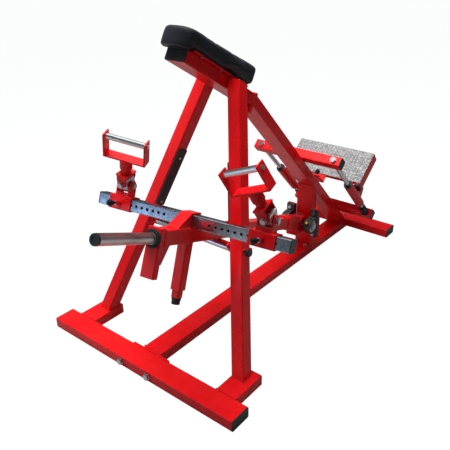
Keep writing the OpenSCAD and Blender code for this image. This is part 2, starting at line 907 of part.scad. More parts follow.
module yoke(side) {
  grip_frame(side) difference() {
    union() {
      translate([-yoke_w / 2, -yoke_d / 2, yoke_z]) cube([yoke_w, yoke_d, 6]);
      for (s = [-1, 1]) translate([s * (yoke_w / 2 - 3) - 3, -yoke_d / 2, yoke_z])
        cube([6, yoke_d, yoke_h]);
      translate([0, 0, 84.5]) cylinder(h = 42, r = 25.5);
      translate([0, 0, 63]) cylinder(h = 50, r = 12);
    }
    translate([-100, 0, grip_z]) along_x() cylinder(h = 200, r = 6 + fit);
  }
}

module yoke_left() {
  color(red) place() yoke(-1);
}

module yoke_right() {
  color(red) place() yoke(1);
}

module roller(side) {
  grip_frame(side) translate([0, 0, grip_z]) union() {
    translate([-yoke_w / 2 + 7, 0, 0]) along_x() cylinder(h = yoke_w - 14, r = grip_r);
    translate([-yoke_w / 2 - 5, 0, 0]) along_x() cylinder(h = yoke_w + 10, r = 6);
    for (s = [-1, 1]) rotate([0, s * 90, 0]) translate([0, 0, yoke_w / 2 + 0.3])
      cylinder(h = 5, r = 9);
  }
}

module roller_left() {
  color(zinc) place() roller(-1);
}

module roller_right() {
  color(zinc) place() roller(1);
}

front_beam();
beam_stubs();
tube_caps();
spine_tube();
flange_plates();
rear_beam();
upright_left();
upright_right();
wear_strips();
pad_beam();
pad_board();
pad();
pad_screws();
incline_tube();
post();
pillow_blocks();
bearing_inserts();
grease_caps();
frame_bolts();
upper_rail_bar();
lower_rail_bar();
guide_rods();
rod_bumpers();
rest_lugs();
rest_frame();
rest_roller();
rest_pin();
carriage_sleeves();
carriage_bushings();
footplate_frame();
tread_plate();
footplate_caps();
footplate_pin();
pivot_hub();
pivot_shaft();
lever_arm();
lever_fork();
lever_bolts();
lever_block();
crossbar_bracket();
crossbar();
lever_caps();
weight_horn();
horn_collar();
stop_leg();
stop_inner();
stop_foot();
slider_left();
slider_right();
slider_pin_left();
slider_pin_right();
cross_left();
cross_right();
clevis_left();
clevis_right();
yoke_left();
yoke_right();
roller_left();
roller_right();
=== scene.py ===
# %% [markdown]
# A chest-supported row machine, dressed for its portrait. The steel frame comes in as
# an exact model that is never moved. This lesson gives every part its real finish, and
# adds what exact solids can't show: the stuffed pad, the welds and the tread bars.

# %% Load the frame
import json
import math
import bpy
import bmesh
from mathutils import Matrix, Vector


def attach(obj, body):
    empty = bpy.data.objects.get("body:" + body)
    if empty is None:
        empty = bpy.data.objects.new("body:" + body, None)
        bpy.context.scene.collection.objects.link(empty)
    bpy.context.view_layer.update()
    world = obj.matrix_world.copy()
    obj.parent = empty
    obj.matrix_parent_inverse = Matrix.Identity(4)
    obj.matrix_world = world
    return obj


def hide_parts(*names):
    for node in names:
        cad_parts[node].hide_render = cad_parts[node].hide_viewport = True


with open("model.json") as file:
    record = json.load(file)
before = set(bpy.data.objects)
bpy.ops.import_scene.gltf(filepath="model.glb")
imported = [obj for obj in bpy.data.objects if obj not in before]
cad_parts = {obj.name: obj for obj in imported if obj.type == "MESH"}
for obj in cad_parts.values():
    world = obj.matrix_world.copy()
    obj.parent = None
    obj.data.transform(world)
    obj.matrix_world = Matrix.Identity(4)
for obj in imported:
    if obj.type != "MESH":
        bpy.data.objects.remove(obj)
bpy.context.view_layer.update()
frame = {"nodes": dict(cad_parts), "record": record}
slots = {part["node"]: part["material_slot"] for part in frame["record"]["subparts"]}

# %% [markdown]
# The camera stands to the right of the weight horn, a little above the chest pad, and
# looks down at the machine. Its turn is built from three axes, because the small roll
# of a hand-held camera is easier to give that way than as Euler angles.

# %% Camera
def look_from(name, place, yaw_deg, pitch_deg, roll_deg, lens, shift):
    yaw, pitch, roll = (math.radians(a) for a in (yaw_deg, pitch_deg, roll_deg))
    right = Vector((math.cos(yaw), math.sin(yaw), 0.0))
    back = Vector((math.sin(yaw) * math.cos(pitch), -math.cos(yaw) * math.cos(pitch), math.sin(pitch)))
    up = back.cross(right)
    turned_right = right * math.cos(roll) + up * math.sin(roll)
    turned_up = up * math.cos(roll) - right * math.sin(roll)
    data = bpy.data.cameras.new(name)
    data.lens = lens
    data.sensor_width = 36.0
    data.shift_x, data.shift_y = shift
    data.clip_start, data.clip_end = 0.05, 60.0
    camera = bpy.data.objects.new(name, data)
    bpy.context.scene.collection.objects.link(camera)
    facing = Matrix((turned_right, turned_up, back)).transposed().to_4x4()
    camera.matrix_world = Matrix.Translation(place) @ facing
    bpy.context.scene.camera = camera
    return camera


camera = look_from("studio_camera", (1.4767, -1.9900, 1.6133), 38.615, 26.164, -0.5285, 45.17,
    (-0.0116, -0.0061))
print("camera lens", camera.data.lens)

# %% [markdown]
# Gloss paint shows its light sources, so the studio uses large soft boxes: one over the
# machine makes the tops of the tubes bright, one on the left lights the front faces, and
# a weak one on the right keeps the shaded sides from going black. The strong ones are
# hidden from reflections, which would burn out on plated steel. What the metal mirrors
# instead is a set of dim cards: a wide glow above, one at the side, and a blue and a grey
# card standing low in front, where the plated handle bar looks straight at them.

# %% Studio lights
def soft_light(name, place, aim, size, power):
    data = bpy.data.lights.new(name, "AREA")
    data.shape = "RECTANGLE"
    data.size, data.size_y = size
    data.energy = power
    lamp = bpy.data.objects.new(name, data)
    bpy.context.scene.collection.objects.link(lamp)
    lamp.location = place
    lamp.rotation_euler = (Vector(aim) - Vector(place)).to_track_quat("-Z", "Y").to_euler()
    return lamp


for strong in (
    soft_light("ceiling_softbox", (-0.4, -0.3, 3.4), (0, 0, 0.2), (2.2, 2.2), 160),
    soft_light("left_softbox", (-2.6, -2.2, 1.8), (0, 0, 0.6), (1.0, 1.8), 20),
    soft_light("right_softbox", (3.0, 0.2, 1.5), (0, 0, 0.5), (1.0, 1.8), 3),
):
    strong.visible_glossy = False
soft_light("ceiling_glow", (-0.3, 0.0, 4.2), (-0.3, 0, 0), (3.6, 3.6), 52)
soft_light("side_glow", (-2.9, -2.6, 1.5), (0, 0, 0.6), (1.2, 2.2), 4.5)
blue_card = soft_light("blue_card", (-1.1, -2.4, 0.68), (-0.1, -1.37, 0.74), (0.60, 0.5), 3.0)
blue_card.data.color = (0.42, 0.64, 1.0)
soft_light("grey_card", (-0.40, -2.4, 0.66), (0.3, -1.31, 0.74), (0.62, 0.5), 1.1)
bpy.context.scene.view_settings.view_transform = "Standard"

# %% [markdown]
# The air behind the machine has to look nearly white, but a white room would fill every
# shadow and turn the gloss red into pink. A Light Path node lets the camera see pale air
# while the lighting and the reflections get a dim room.

# %% Studio air
world = bpy.data.worlds.new("studio_air")
world.use_nodes = True
air = world.node_tree
seen = air.nodes.new("ShaderNodeBackground")
seen.inputs["Color"].default_value = (0.965, 0.982, 0.974, 1)
dim = air.nodes["Background"]
dim.inputs["Color"].default_value = (0.80, 0.88, 1.0, 1)
dim.inputs["Strength"].default_value = 0.11
path = air.nodes.new("ShaderNodeLightPath")
choose = air.nodes.new("ShaderNodeMixShader")
air.links.new(path.outputs["Is Camera Ray"], choose.inputs[0])
air.links.new(dim.outputs[0], choose.inputs[1])
air.links.new(seen.outputs[0], choose.inputs[2])
air.links.new(choose.outputs[0], air.nodes["World Output"].inputs["Surface"])
bpy.context.scene.world = world
print("air", world.name)

# %% [markdown]
# Finishes are written as node trees. This helper adds one node and fills in its sockets
# and settings, so that each finish below stays short enough to read as a recipe.

# %% Node helpers
def add_node(tree, kind, settings=None, **sockets):
    made = tree.nodes.new(kind)
    for key, value in (settings or {}).items():
        setattr(made, key, value)
    for key, value in sockets.items():
        numbered = key[0] == "i" and key[1:].isdigit()
        socket = made.inputs[int(key[1:]) if numbered else key.replace("_", " ")]
        if isinstance(value, bpy.types.NodeSocket):
            tree.links.new(value, socket)
        else:
            socket.default_value = value
    return made


def new_group(name, inputs, outputs):
    tree = bpy.data.node_groups.new(name, "ShaderNodeTree")
    for label, kind, value in inputs:
        socket = tree.interface.new_socket(name=label, in_out="INPUT", socket_type=kind)
        socket.default_value = value
    for label, kind in outputs:
        tree.interface.new_socket(name=label, in_out="OUTPUT", socket_type=kind)
    return tree, tree.nodes.new("NodeGroupInput"), tree.nodes.new("NodeGroupOutput")


FLOAT, COLOR, VECTOR = "NodeSocketFloat", "NodeSocketColor", "NodeSocketVector"

# %% [markdown]
# Nothing real has one even colour. This shared group clouds a colour between two tones
# with slow noise, the way paint and plate come out a little uneven from the line.

# %% Shared effect: clouded colour
clouded, given, made = new_group("clouded_colour",
    [("Tone", COLOR, (0.5, 0.5, 0.5, 1)), ("Other", COLOR, (0.4, 0.4, 0.4, 1)), ("Scale", FLOAT, 6.0),
    ("Sharpness", FLOAT, 0.3)],
    [("Color", COLOR), ("Cloud", FLOAT)])
place = add_node(clouded, "ShaderNodeTexCoord")
clouds = add_node(clouded, "ShaderNodeTexNoise", Vector=place.outputs["Object"],
    Scale=given.outputs["Scale"], Detail=5.0, Roughness=0.6)
low_edge = add_node(clouded, "ShaderNodeMath", {"operation": "MULTIPLY"}, i0=given.outputs["Sharpness"],
    i1=0.5)
high_edge = add_node(clouded, "ShaderNodeMath", {"operation": "SUBTRACT"}, i0=1.0, i1=low_edge.outputs[0])
spread = add_node(clouded, "ShaderNodeMapRange", Value=clouds.outputs["Fac"], From_Min=low_edge.outputs[0],
    From_Max=high_edge.outputs[0])
blend_tones = add_node(clouded, "ShaderNodeMix", {"data_type": "RGBA"}, i0=spread.outputs[0],
    i6=given.outputs["Tone"], i7=given.outputs["Other"])
clouded.links.new(blend_tones.outputs[2], made.inputs["Color"])
clouded.links.new(spread.outputs[0], made.inputs["Cloud"])
print("group", clouded.name)

# %% [markdown]
# Dust settles on faces that look up and rubs off elsewhere. The group turns the upward
# part of the surface normal into a mask and breaks it up with noise.

# %% Shared effect: settled dust
dust, given, made = new_group("settled_dust", [("Amount", FLOAT, 0.2), ("Scale", FLOAT, 14.0)],
    [("Mask", FLOAT)])
facing = add_node(dust, "ShaderNodeNewGeometry")
parts = add_node(dust, "ShaderNodeSeparateXYZ", i0=facing.outputs["Normal"])
upward = add_node(dust, "ShaderNodeMapRange", Value=parts.outputs["Z"], From_Min=0.25, From_Max=1.0)
place = add_node(dust, "ShaderNodeTexCoord")
specks = add_node(dust, "ShaderNodeTexNoise", Vector=place.outputs["Object"], Scale=given.outputs["Scale"],
    Detail=8.0, Roughness=0.7)
broken = add_node(dust, "ShaderNodeMapRange", Value=specks.outputs["Fac"], From_Min=0.38, From_Max=0.72)
both = add_node(dust, "ShaderNodeMath", {"operation": "MULTIPLY"}, i0=upward.outputs[0], i1=broken.outputs[0])
amount = add_node(dust, "ShaderNodeMath", {"operation": "MULTIPLY", "use_clamp": True}, i0=both.outputs[0],
    i1=given.outputs["Amount"])
dust.links.new(amount.outputs[0], made.inputs["Mask"])
print("group", dust.name)

# %% [markdown]
# Powder coat pulls thin over sharp edges and gets knocked there, and rounded edges catch the light. A softly
# rounded normal differs from the flat one only near an edge, so the difference of the two is the mask, used
# both for wear and for a painted highlight along the edges.

# %% Shared effect: worn edges with painted highlight
edges, given, made = new_group("worn_and_highlit_edges", [("Reach", FLOAT, 0.0015), ("Scale", FLOAT, 60.0),
    ("Amount", FLOAT, 1.0)],
    [("Mask", FLOAT), ("Normal", VECTOR)])
rounded = add_node(edges, "ShaderNodeBevel", {"samples": 4}, Radius=given.outputs["Reach"])
flat = add_node(edges, "ShaderNodeNewGeometry")
same = add_node(edges, "ShaderNodeVectorMath", {"operation": "DOT_PRODUCT"}, i0=rounded.outputs[0],
    i1=flat.outputs["Normal"])
near_edge = add_node(edges, "ShaderNodeMapRange", Value=same.outputs["Value"], From_Min=0.995, From_Max=0.82)
place = add_node(edges, "ShaderNodeTexCoord")
chips = add_node(edges, "ShaderNodeTexNoise", Vector=place.outputs["Object"], Scale=given.outputs["Scale"],
    Detail=4.0)
chipped = add_node(edges, "ShaderNodeMapRange", Value=chips.outputs["Fac"], From_Min=0.45, From_Max=0.7)
edge_wear_and_highlight = add_node(edges, "ShaderNodeMath", {"operation": "MULTIPLY"}, i0=near_edge.outputs[0],
    i1=chipped.outputs[0])
worn_amount = add_node(edges, "ShaderNodeMath", {"operation": "MULTIPLY", "use_clamp": True},
    i0=edge_wear_and_highlight.outputs[0], i1=given.outputs["Amount"])
edges.links.new(worn_amount.outputs[0], made.inputs["Mask"])
edges.links.new(rounded.outputs[0], made.inputs["Normal"])
print("group", edges.name)

# %% [markdown]
# Moulded, cast, rubbed and coated skins all have a fine relief at their own scale. One
# group makes the height; each material sends it through its own Bump node.

# %% Shared effect: fine relief
relief, given, made = new_group("fine_relief", [("Scale", FLOAT, 400.0), ("Pits", FLOAT, 0.0)],
    [("Height", FLOAT)])
place = add_node(relief, "ShaderNodeTexCoord")
ripple = add_node(relief, "ShaderNodeTexNoise", Vector=place.outputs["Object"],
    Scale=given.outputs["Scale"], Detail=2.0)
cells = add_node(relief, "ShaderNodeTexVoronoi", {"feature": "DISTANCE_TO_EDGE"},
    Vector=place.outputs["Object"], Scale=given.outputs["Scale"])
creases = add_node(relief, "ShaderNodeMapRange", Value=cells.outputs["Distance"], From_Min=0.0, From_Max=0.25)
mixed = add_node(relief, "ShaderNodeMix", {"data_type": "FLOAT"}, i0=given.outputs["Pits"],
    i2=ripple.outputs["Fac"], i3=creases.outputs[0])
relief.links.new(mixed.outputs[0], made.inputs["Height"])
print("group", relief.name)

# %% [markdown]
# Turned and drawn steel carries fine lines along the bar. The coordinates are turned so
# that Z follows the bar, then squeezed along it, which stretches the noise into lines.

# %% Shared effect: drawn lines
lines, given, made = new_group("drawn_lines", [("Turn", VECTOR, (0, 0, 0)), ("Fineness", FLOAT, 700.0)],
    [("Lines", FLOAT), ("Patches", FLOAT)])
place = add_node(lines, "ShaderNodeTexCoord")
turned = add_node(lines, "ShaderNodeMapping", Vector=place.outputs["Object"], Rotation=given.outputs["Turn"])
stretched = add_node(lines, "ShaderNodeMapping", Vector=turned.outputs[0], Scale=(1.0, 1.0, 0.015))
fine = add_node(lines, "ShaderNodeTexNoise", Vector=stretched.outputs[0], Scale=given.outputs["Fineness"],
    Detail=3.0)
long_patches = add_node(lines, "ShaderNodeMapping", Vector=turned.outputs[0], Scale=(1.0, 1.0, 0.22))
patchy = add_node(lines, "ShaderNodeTexNoise", Vector=long_patches.outputs[0], Scale=38.0, Detail=5.0,
    Roughness=0.65)
lines.links.new(fine.outputs["Fac"], made.inputs["Lines"])
lines.links.new(patchy.outputs["Fac"], made.inputs["Patches"])
print("group", lines.name)

# %% [markdown]
# Each material starts from the same bench: an empty tree with one Principled shader.
# The grouped effects are dropped in as nodes with this material's own values.

# %% Material bench
def start_material(name, **shader):
    mat = bpy.data.materials.new(name)
    mat.use_nodes = True
    tree = mat.node_tree
    surface = tree.nodes["Principled BSDF"]
    for key, value in shader.items():
        surface.inputs[key.replace("_", " ")].default_value = value
    return mat, tree, surface


def use_group(tree, group, **sockets):
    return add_node(tree, "ShaderNodeGroup", {"node_tree": group}, **sockets)


def tint(tree, mask, under, over):
    return add_node(tree, "ShaderNodeMix", {"data_type": "RGBA"}, i0=mask, i6=under, i7=over).outputs[2]


def swing(tree, value, low, high):
    return add_node(tree, "ShaderNodeMapRange", Value=value, To_Min=low, To_Max=high).outputs[0]


def raise_bumps(tree, surface, height, depth, strength, under=None):
    bump = add_node(tree, "ShaderNodeBump", Height=height, Distance=depth, Strength=strength)
    if under is not None:
        tree.links.new(under, bump.inputs["Normal"])
    tree.links.new(bump.outputs[0], surface.inputs["Normal"])


finishes = {}

# %% [markdown]
# The frame is powder coated in a hot gloss red. Powder flows out with a faint orange peel, gathers a darker
# red in its slow clouds, and is painted lighter on its edges, partly as wear and partly as a painted
# highlight.

# %% Red powder coat
def red_paint(name):
    mat, tree, surface = start_material(name, Coat_Weight=0.08, Coat_Roughness=0.10, Specular_IOR_Level=0.22)
    cloud = use_group(tree, clouded, Tone=(0.86, 0.010, 0.012, 1), Other=(0.66, 0.003, 0.006, 1), Scale=3.2,
        Sharpness=0.7)
    edge_wear_and_highlight = use_group(tree, edges, Reach=0.0018, Scale=45.0, Amount=0.5)
    dusty = use_group(tree, dust, Amount=0.04, Scale=9.0)
    # The lighter red on the edges is partly edge wear and partly a painted highlight.
    knocked_and_highlit = tint(tree, edge_wear_and_highlight.outputs["Mask"], cloud.outputs["Color"], (0.85, 0.07, 0.06, 1))
    settled = tint(tree, dusty.outputs["Mask"], knocked_and_highlit, (0.70, 0.14, 0.13, 1))
    tree.links.new(settled, surface.inputs["Base Color"])
    tree.links.new(swing(tree, cloud.outputs["Cloud"], 0.20, 0.34), surface.inputs["Roughness"])
    peel = use_group(tree, relief, Scale=260.0, Pits=0.0)
    raise_bumps(tree, surface, peel.outputs["Height"], 0.0004, 0.22, edge_wear_and_highlight.outputs["Normal"])
    return mat


finishes["red_paint"] = red_paint("red_powder_coat")
print("finish", finishes["red_paint"].name)

# %% [markdown]
# Caps, knobs, bushings and rub strips are moulded plastic: black with a fine spark-eroded
# grain, a sheen that varies where hands and tubes have polished it, and a grey bloom.

# %% Black moulded plastic
def moulded(name, rough_low, rough_high, grain, tone=(0.012, 0.012, 0.013, 1),
        other=(0.028, 0.028, 0.030, 1)):
    mat, tree, surface = start_material(name, Specular_IOR_Level=0.35)
    cloud = use_group(tree, clouded, Tone=tone, Other=other, Scale=18.0, Sharpness=0.5)
    dusty = use_group(tree, dust, Amount=0.12, Scale=30.0)
    colour = tint(tree, dusty.outputs["Mask"], cloud.outputs["Color"], (0.07, 0.07, 0.07, 1))
    tree.links.new(colour, surface.inputs["Base Color"])
    tree.links.new(swing(tree, cloud.outputs["Cloud"], rough_low, rough_high), surface.inputs["Roughness"])
    grainy = use_group(tree, relief, Scale=grain, Pits=0.3)
    raise_bumps(tree, surface, grainy.outputs["Height"], 0.0003, 0.35)
    return mat


finishes["black_plastic"] = moulded("black_moulded_plastic", 0.32, 0.48, 900.0)
glossy_knob = moulded("black_gloss_knob", 0.10, 0.18, 300.0, (0.006, 0.006, 0.007, 1),
    (0.012, 0.012, 0.013, 1))
finishes["black_rubber"] = moulded("black_rubber", 0.62, 0.80, 500.0, (0.016, 0.016, 0.017, 1),
    (0.034, 0.033, 0.032, 1))
finishes["board"] = moulded("black_stained_board", 0.60, 0.75, 160.0, (0.014, 0.012, 0.010, 1),
    (0.030, 0.027, 0.024, 1))
finishes["yellow_plastic"] = moulded("yellow_grease_cap", 0.25, 0.35, 700.0, (0.80, 0.56, 0.02, 1),
    (0.68, 0.45, 0.02, 1))
print("finishes", len(finishes))

# %% [markdown]
# The pad is covered in smooth black vinyl. Up close it has a small pebble grain with
# creases between the pebbles, and a soft sheen that is bluish where it faces the light.

# %% Black vinyl
def vinyl(name):
    mat, tree, surface = start_material(name, Specular_IOR_Level=0.40, Sheen_Weight=0.05, Sheen_Roughness=0.4)
    surface.inputs["Sheen Tint"].default_value = (0.75, 0.85, 1.0, 1)
    cloud = use_group(tree, clouded, Tone=(0.006, 0.007, 0.009, 1), Other=(0.012, 0.014, 0.018, 1),
        Scale=9.0, Sharpness=0.5)
    dusty = use_group(tree, dust, Amount=0.10, Scale=60.0)
    tree.links.new(tint(tree, dusty.outputs["Mask"], cloud.outputs["Color"], (0.16, 0.17, 0.18, 1)),
        surface.inputs["Base Color"])
    tree.links.new(swing(tree, cloud.outputs["Cloud"], 0.34, 0.46), surface.inputs["Roughness"])
    pebbles = use_group(tree, relief, Scale=520.0, Pits=0.75)
    raise_bumps(tree, surface, pebbles.outputs["Height"], 0.0004, 0.35)
    return mat


finishes["black_vinyl"] = vinyl("black_vinyl")
print("finish", finishes["black_vinyl"].name)

# %% [markdown]
# Zinc-plated bolts and the plated handle bar look cold and a little blotchy. The plate
# is a metal whose tone and gloss both follow the same clouds, with tiny dark specks.

# %% Zinc plate
def zinc_plate(name, tone, other, scale, rough_low, rough_high, specks=0.0):
    mat, tree, surface = start_material(name, Metallic=1.0)
    cloud = use_group(tree, clouded, Tone=tone, Other=other, Scale=scale, Sharpness=0.75)
    speckle = use_group(tree, clouded, Tone=(1, 1, 1, 1), Other=(0, 0, 0, 1), Scale=scale * 14.0,
        Sharpness=0.9)
    dark = add_node(tree, "ShaderNodeMath", {"operation": "MULTIPLY"}, i0=speckle.outputs["Cloud"], i1=specks)
    colour = tint(tree, dark.outputs[0], cloud.outputs["Color"], (0.13, 0.14, 0.16, 1))
    tree.links.new(colour, surface.inputs["Base Color"])
    tree.links.new(swing(tree, cloud.outputs["Cloud"], rough_low, rough_high), surface.inputs["Roughness"])
    edge_wear_and_highlight = use_group(tree, edges, Reach=0.001, Scale=90.0, Amount=0.3)
    skin = use_group(tree, relief, Scale=600.0, Pits=0.0)
    raise_bumps(tree, surface, skin.outputs["Height"], 0.0002, 0.25, edge_wear_and_highlight.outputs["Normal"])
    return mat


finishes["plated_steel"] = zinc_plate("zinc_plated_bolts", (0.74, 0.76, 0.79, 1), (0.46, 0.48, 0.52, 1),
    24.0, 0.22, 0.40)
bar_plate = zinc_plate("zinc_plated_bar", (0.62, 0.67, 0.75, 1), (0.36, 0.40, 0.46, 1), 13.0, 0.16, 0.34,
    0.35)
finishes["chrome"] = zinc_plate("polished_rod", (0.72, 0.73, 0.75, 1), (0.58, 0.59, 0.62, 1), 20.0, 0.08,
    0.16)
print("finishes", len(finishes))

# %% [markdown]
# The weight horn and the hand rollers are bare steel tube. Plates and palms have drawn
# long fine lines along them, with warm brownish streaks where the metal has tarnished.

# %% Satin steel
def drawn_steel(name, along, bright, warm):
    mat, tree, surface = start_material(name, Metallic=1.0)
    turn = Vector(along).rotation_difference(Vector((0, 0, 1))).to_euler()
    drawn = use_group(tree, lines, Turn=tuple(turn), Fineness=420.0)
    streaks = add_node(tree, "ShaderNodeMapRange", Value=drawn.outputs["Patches"], From_Min=0.46,
        From_Max=0.74)
    tree.links.new(tint(tree, streaks.outputs[0], bright, warm), surface.inputs["Base Color"])
    tree.links.new(swing(tree, drawn.outputs["Lines"], 0.24, 0.44), surface.inputs["Roughness"])
    raise_bumps(tree, surface, drawn.outputs["Lines"], 0.0003, 0.3)
    return mat


print("drawn steel ready")

# %% [markdown]
# The flange bearings have cast housings under black enamel. Castings keep the grain of
# the sand, so their relief is coarser and deeper than that of any other black part.

# %% Cast housings
def cast_enamel(name):
    mat, tree, surface = start_material(name, Coat_Weight=0.2, Coat_Roughness=0.25)
    cloud = use_group(tree, clouded, Tone=(0.016, 0.016, 0.018, 1), Other=(0.045, 0.045, 0.048, 1),
        Scale=22.0, Sharpness=0.6)
    dusty = use_group(tree, dust, Amount=0.3, Scale=40.0)
    tree.links.new(tint(tree, dusty.outputs["Mask"], cloud.outputs["Color"], (0.22, 0.20, 0.18, 1)),
        surface.inputs["Base Color"])
    tree.links.new(swing(tree, cloud.outputs["Cloud"], 0.35, 0.6), surface.inputs["Roughness"])
    sand = use_group(tree, relief, Scale=330.0, Pits=0.1)
    raise_bumps(tree, surface, sand.outputs["Height"], 0.0008, 0.6)
    return mat


finishes["cast_black"] = cast_enamel("cast_black_enamel")
print("finish", finishes["cast_black"].name)

# %% [markdown]
# The tread is pressed aluminium plate, dull and speckled from shoes. Its colour moves in
# small hard-edged flecks rather than slow clouds, and its high spots are rubbed bright.

# %% Tread aluminium
def tread_metal(name, bright):
    mat, tree, surface = start_material(name, Metallic=0.35)
    fleck = use_group(tree, clouded, Tone=(bright, bright, bright * 0.99, 1),
        Other=(bright * 0.70, bright * 0.70, bright * 0.71, 1), Scale=60.0, Sharpness=0.85)
    dusty = use_group(tree, dust, Amount=0.35, Scale=120.0)
    tree.links.new(tint(tree, dusty.outputs["Mask"], fleck.outputs["Color"], (0.42, 0.41, 0.39, 1)),
        surface.inputs["Base Color"])
    tree.links.new(swing(tree, fleck.outputs["Cloud"], 0.38, 0.62), surface.inputs["Roughness"])
    skin = use_group(tree, relief, Scale=500.0, Pits=0.0)
    raise_bumps(tree, surface, skin.outputs["Height"], 0.0005, 0.5)
    return mat


finishes["aluminium"] = tread_metal("tread_aluminium", 0.30)
tread_tops = tread_metal("tread_bar_tops", 0.58)
print("finish", finishes["aluminium"].name)

# %% [markdown]
# Everything on the lever is drawn in the lever's own axes, as a maker would, and placed
# by one matrix: turned up off level, turned aside, and set on the pivot. The two handles
# add their own pitch, tilt and turn to that.

# %% Places on the machine
MM = 0.001


def turn(axis, degrees):
    return Matrix.Rotation(math.radians(degrees), 4, axis)


def move(x, y, z):
    return Matrix.Translation((x * MM, y * MM, z * MM))


lever = move(0, 1270 - 798, 212) @ turn("Z", 7.7) @ turn("X", -20.5)
block = lever @ move(0, -1358, 4) @ turn("X", -3.2)
pad_seat = move(0, 338 - 798, 1233) @ turn("X", -30)
slope_top = move(0, (1748 + 50 * math.sqrt(2)) / 2 - 798, (1748 + 50 * math.sqrt(2)) / 2) @ turn("X", -135)
plate_seat = move(0, 1505 - 798, 428) @ turn("X", 39.5)
hinges = {
    "left": lever @ move(-323.75, -1141, 137) @ turn("X", 30) @ move(0, 0, 17) @ turn("Y", 14) @ move(0, 0,
        -17) @ turn("Z", 13.5),
    "right": lever @ move(323.75, -1141, 137) @ turn("X", 38) @ move(0, 0, 17) @ turn("Y", -23) @ move(0, 0,
        -17),
}
print("lever tip at", [round(v, 3) for v in (block @ Vector((0, -0.297, 0)))])

# %% [markdown]
# Now each part of the frame gets the finish its record asks for. A few parts need their
# own version: ball knobs are glossier than caps, and drawn steel follows its own bar.

# %% Dress the frame
finishes["satin_steel"] = drawn_steel("horn_steel", block.to_3x3() @ Vector((0, 1, 0)),
    (0.86, 0.85, 0.83, 1), (0.50, 0.43, 0.36, 1))
special = {
    "crossbar": bar_plate,
    "footplate_pin": glossy_knob, "slider_pin_left": glossy_knob, "slider_pin_right": glossy_knob,
    "rest_pin": glossy_knob,
    "roller_left": drawn_steel("left_roller_steel", hinges["left"].to_3x3() @ Vector((1, 0, 0)),
        (0.88, 0.88, 0.87, 1), (0.62, 0.60, 0.57, 1)),
    "roller_right": drawn_steel("right_roller_steel", hinges["right"].to_3x3() @ Vector((1, 0, 0)),
        (0.88, 0.88, 0.87, 1), (0.62, 0.60, 0.57, 1)),
}
for name, part in frame["nodes"].items():
    part.data.materials.clear()
    part.data.materials.append(special.get(name, finishes[slots[name]]))
print("dressed", len(frame["nodes"]), "parts in", len(bpy.data.materials), "finishes")

# %% [markdown]
# New pieces are modelled at the world origin and moved to their place with one matrix,
# which is then applied, so that every finished piece has no turn or scale left on it.

# %% Piece helpers
def nothing_selected():
    if bpy.context.object and bpy.context.object.mode != "OBJECT":
        bpy.ops.object.mode_set(mode="OBJECT")
    bpy.ops.object.select_all(action="DESELECT")


def only(piece):
    nothing_selected()
    piece.select_set(True)
    bpy.context.view_layer.objects.active = piece


def settle(piece, place, finish, body):
    only(piece)
    piece.data.transform(place @ piece.matrix_world)
    piece.matrix_world = Matrix.Identity(4)
    piece.data.update()
    piece.data.materials.clear()
    piece.data.materials.append(finish)
    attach(piece, body)
    return piece


def copy_to(piece, place, name):
    twin = piece.copy()
    twin.data = piece.data.copy()
    twin.name = name
    twin.data.transform(place)
    bpy.context.scene.collection.objects.link(twin)
    return twin


def join_all(pieces, name):
    nothing_selected()
    for piece in pieces:
        piece.select_set(True)
    bpy.context.view_layer.objects.active = pieces[0]
    bpy.ops.object.join()
    pieces[0].name = name
    return pieces[0]


def apply_modifier(piece, kind, **settings):
    only(piece)
    mod = piece.modifiers.new(kind.title(), kind)
    for key, value in settings.items():
        setattr(mod, key, value)
    bpy.ops.object.modifier_apply(modifier=mod.name)
    return piece


print("piece helpers ready")

# %% [markdown]
# The chest pad is a foam wedge under stretched vinyl, with a nose that rolls over the end
# of its beam. It is drawn as two overlapping blocks, fused by a voxel remesh, and then
# blown up a little as cloth, which rounds the edges the way tight upholstery does.

# %% Pad blank
PAD_FRONT, PAD_REAR, PAD_HALF, PAD_WIDE = -55.0, 403.0, 73.0, 80.0
PAD_FLOOR, TOP_FRONT, TOP_REAR = 61.8, 114.0, 135.4
NOSE_REAR, NOSE_FLOOR, NOSE_TOP = -7.0, 43.0, 96.0
FRONT_ROUND, REAR_ROUND = 56, 22


def rounded_plan(front, rear, half, wide, front_radius, rear_radius):
    plan = []
    for cx, cy, r, start in ((wide, rear, rear_radius, 0), (-wide, rear, rear_radius, 90),
            (-half, front, front_radius, 180), (half, front, front_radius, 270)):
        middle_x = cx - math.copysign(r, cx)
        middle_y = cy - r if start < 180 else cy + r
        for step in range(7):
            a = math.radians(start + 15 * step)
            plan.append((middle_x + r * math.cos(a), middle_y + r * math.sin(a)))
    return plan


def foam_block(name, plan, floor_at, top_at, edge):
    bpy.ops.mesh.primitive_cube_add(size=0.001)
    block_piece = bpy.context.object
    block_piece.name = name
    work = bmesh.new()
    ring = [work.verts.new((x * MM, y * MM, floor_at(y) * MM)) for x, y in plan]
    base = work.faces.new(ring)
    lifted = bmesh.ops.extrude_face_region(work, geom=[base])["geom"]
    for vert in (g for g in lifted if isinstance(g, bmesh.types.BMVert)):
        vert.co.z = top_at(vert.co.y / MM) * MM
    bmesh.ops.recalc_face_normals(work, faces=work.faces)
    work.to_mesh(block_piece.data)
    work.free()
    apply_modifier(block_piece, "BEVEL", width=edge * MM, segments=4, limit_method="ANGLE",
        angle_limit=math.radians(50))
    return block_piece


